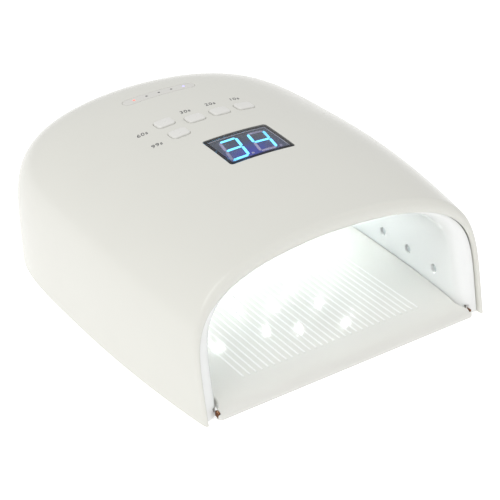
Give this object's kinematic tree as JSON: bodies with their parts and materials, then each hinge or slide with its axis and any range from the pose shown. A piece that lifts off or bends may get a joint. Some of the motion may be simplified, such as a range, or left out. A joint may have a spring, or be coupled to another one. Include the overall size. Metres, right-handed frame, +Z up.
{
  "type": "uv curing lamp",
  "caption": "Cordless curing lamp: an arched glossy shell over an open hand cavity lined with LEDs, with a numeric display, timer buttons and a lift-off base tray.",
  "frame": {"origin": "on the table, under the centre of the lamp's bounding box", "axes": "+Z up; the hand opening faces -Y; +X is to the right of someone who faces the opening"},
  "size_m": [0.209, 0.24, 0.0973],
  "materials": {
    "shell": "gloss",
    "liner": "high gloss",
    "tray": "gloss",
    "cover": "satin",
    "button": "semi-gloss",
    "tinted_window": "gloss",
    "display": "matt",
    "strip": "semi-gloss",
    "green_board": "solder resist",
    "switch_body": "matt",
    "chip": "gloss",
    "battery": "shrink film",
    "holder": "matt",
    "inlet": "matt",
    "steel": "plated",
    "keeper": "browned",
    "magnet": "nickel plated",
    "rubber": "matt",
    "led_board": "satin white"
  },
  "bodies": {
    "tray": {"base_tray": "tray", "keeper_front_left": "keeper", "keeper_front_right": "keeper", "tray_magnet_rear_left": "magnet", "tray_magnet_rear_right": "magnet", "tray_pad_1": "rubber", "tray_pad_2": "rubber", "tray_pad_3": "rubber", "tray_pad_4": "rubber"},
    "lamp": {"battery_cell_1": "battery", "battery_cell_2": "battery", "battery_holder": "holder", "board_screw_1": "steel", "board_screw_2": "steel", "board_screw_3": "steel", "board_screw_4": "steel", "bottom_cover": "cover", "charging_inlet": "inlet", "charging_inlet_pin": "steel", "control_board": "green_board", "cover_screw_1": "steel", "cover_screw_2": "steel", "cover_screw_3": "steel", "cover_screw_4": "steel", "cover_screw_5": "steel", "cover_screw_6": "steel", "display_module": "display", "display_window": "tinted_window", "front_foot_left": "rubber", "front_foot_right": "rubber", "hand_sensor": "tinted_window", "indicator_led_1": "chip", "indicator_led_2": "chip", "indicator_led_3": "chip", "indicator_led_4": "chip", "indicator_led_5": "chip", "indicator_strip": "strip", "keeper_rear_left": "keeper", "keeper_rear_right": "keeper", "led_board_left": "led_board", "led_board_rear": "led_board", "led_board_right": "led_board", "led_board_roof": "led_board", "mouth_magnet_left": "magnet", "mouth_magnet_right": "magnet", "outer_shell": "shell", "rear_foot_left": "rubber", "rear_foot_right": "rubber", "reflector_liner": "liner", "tact_switch_centre_left": "switch_body", "tact_switch_centre_right": "switch_body", "tact_switch_front_left": "switch_body", "tact_switch_rear_left": "switch_body", "tact_switch_right": "switch_body"},
    "button_centre_left": {"button_centre_left": "button"},
    "button_centre_right": {"button_centre_right": "button"},
    "button_front_left": {"button_front_left": "button"},
    "button_rear_left": {"button_rear_left": "button"},
    "button_right": {"button_right": "button"}
  },
  "joints": [
    {"name": "lamp_lift", "type": "slide", "parent": "tray", "child": "lamp", "axis": [0, 0, 1], "range_m": [0, 0.08]},
    {"name": "button_centre_left_press", "type": "slide", "parent": "lamp", "child": "button_centre_left", "axis": [0, 0, -1], "range_m": [0, 0.0008], "stiffness_N_per_m": 600, "springref_m": -0.0006},
    {"name": "button_centre_right_press", "type": "slide", "parent": "lamp", "child": "button_centre_right", "axis": [0, 0, -1], "range_m": [0, 0.0008], "stiffness_N_per_m": 600, "springref_m": -0.0006},
    {"name": "button_front_left_press", "type": "slide", "parent": "lamp", "child": "button_front_left", "axis": [0, 0, -1], "range_m": [0, 0.0008], "stiffness_N_per_m": 600, "springref_m": -0.0006},
    {"name": "button_rear_left_press", "type": "slide", "parent": "lamp", "child": "button_rear_left", "axis": [0, 0, -1], "range_m": [0, 0.0008], "stiffness_N_per_m": 600, "springref_m": -0.0006},
    {"name": "button_right_press", "type": "slide", "parent": "lamp", "child": "button_right", "axis": [0, 0, -1], "range_m": [0, 0.0008], "stiffness_N_per_m": 600, "springref_m": -0.0006}
  ]
}
